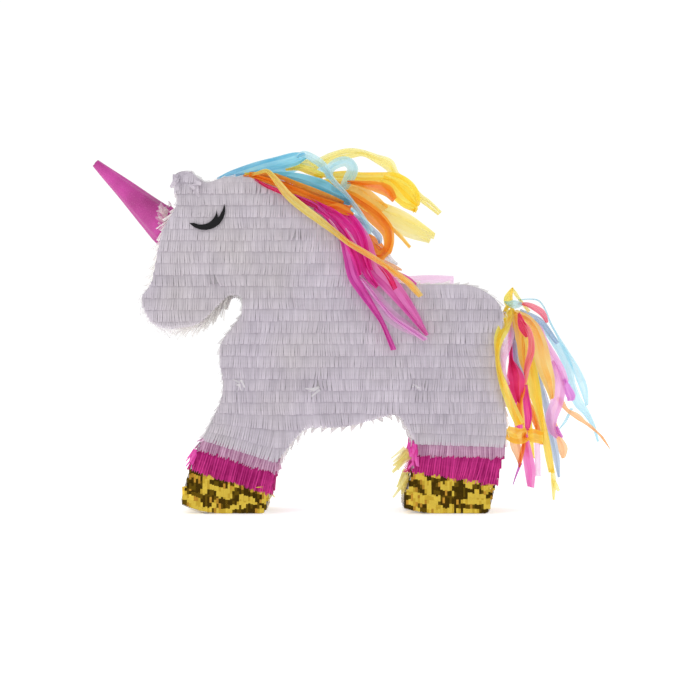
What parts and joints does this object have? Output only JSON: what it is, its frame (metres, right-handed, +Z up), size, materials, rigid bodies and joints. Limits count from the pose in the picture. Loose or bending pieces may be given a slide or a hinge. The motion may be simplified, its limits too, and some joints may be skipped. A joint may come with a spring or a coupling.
{
  "type": "unicorn pinata",
  "caption": "Flat-sided cardboard unicorn pinata covered in cut tissue rows, with horn, streamer mane and tail, foil hooves, filling flap and hanging holes.",
  "frame": {"origin": "on the surface it stands on, under the middle of its overall box", "axes": "+X from the horn to the tail, +Y across the body towards the unicorn's right side, +Z up"},
  "size_m": [0.5804, 0.113, 0.4075],
  "materials": {
    "cardboard": "matt kraft board, white liner outside",
    "tissue_white": "matt cut tissue rows",
    "tissue_pale_pink": "matt cut tissue",
    "tissue_magenta": "matt cut tissue",
    "gold_foil": "metallised film, cut fringe, crinkled",
    "horn_paper": "satin rolled paper with soft creases",
    "black_card": "satin sticker",
    "tissue_blue": "thin creased streamer tissue",
    "tissue_yellow": "thin creased streamer tissue",
    "tissue_orange": "thin creased streamer tissue",
    "tissue_pink": "thin creased streamer tissue",
    "cord": "thin twisted cotton cord"
  },
  "bodies": {
    "root": {"side_panel_left": "cardboard", "side_panel_right": "cardboard", "sole_front": "cardboard", "sole_rear": "cardboard", "wall_belly": "cardboard", "wall_rump": "cardboard", "wall_back": "cardboard", "wall_crest": "cardboard", "wall_ear": "cardboard", "wall_forehead": "cardboard", "wall_muzzle": "cardboard", "wall_jaw": "cardboard", "wall_chest": "cardboard", "glue_tabs_left": "cardboard", "glue_tabs_right": "cardboard", "hanger_plate": "cardboard", "flap_ledges": "cardboard", "horn_cone": "horn_paper", "horn_base_ring": "horn_paper", "eyelash_left": "black_card", "eyelash_right": "black_card", "fringe_left_head": "tissue_white", "fringe_left_neck": "tissue_white", "fringe_left_trunk": "tissue_white", "fringe_left_legs": "tissue_white", "fringe_right_head": "tissue_white", "fringe_right_neck": "tissue_white", "fringe_right_trunk": "tissue_white", "fringe_right_legs": "tissue_white", "fringe_edge_belly": "tissue_white", "fringe_edge_rump": "tissue_white", "fringe_edge_back": "tissue_white", "fringe_edge_crest": "tissue_white", "fringe_edge_ear": "tissue_white", "fringe_edge_forehead": "tissue_white", "fringe_edge_muzzle": "tissue_white", "fringe_edge_jaw": "tissue_white", "fringe_edge_chest": "tissue_white", "band_pale_front": "tissue_pale_pink", "band_magenta_front": "tissue_magenta", "hoof_foil_front": "gold_foil", "band_pale_rear": "tissue_pale_pink", "band_magenta_rear": "tissue_magenta", "hoof_foil_rear": "gold_foil", "mane_binding": "tissue_white", "mane_blue": "tissue_blue", "mane_yellow": "tissue_yellow", "mane_orange": "tissue_orange", "mane_magenta": "tissue_magenta", "mane_pink": "tissue_pink", "tail_loop": "cord", "tail_toggle": "cardboard"},
    "flap": {"fill_flap": "cardboard", "fringe_flap": "tissue_white"},
    "tail": {"tail_head": "tissue_yellow", "tail_tie": "tissue_yellow", "tail_bundles": "tissue_orange"}
  },
  "joints": [
    {"name": "fill_flap_hinge", "type": "hinge", "parent": "root", "child": "flap", "pos_m": [0.11439, 0, 0.252], "axis": [0, 1, 0], "range_deg": [0, 105]},
    {"name": "tail_swing", "type": "hinge", "parent": "root", "child": "tail", "pos_m": [0.178, 0, 0.222], "axis": [0, -1, 0], "range_deg": [0, 35]}
  ]
}
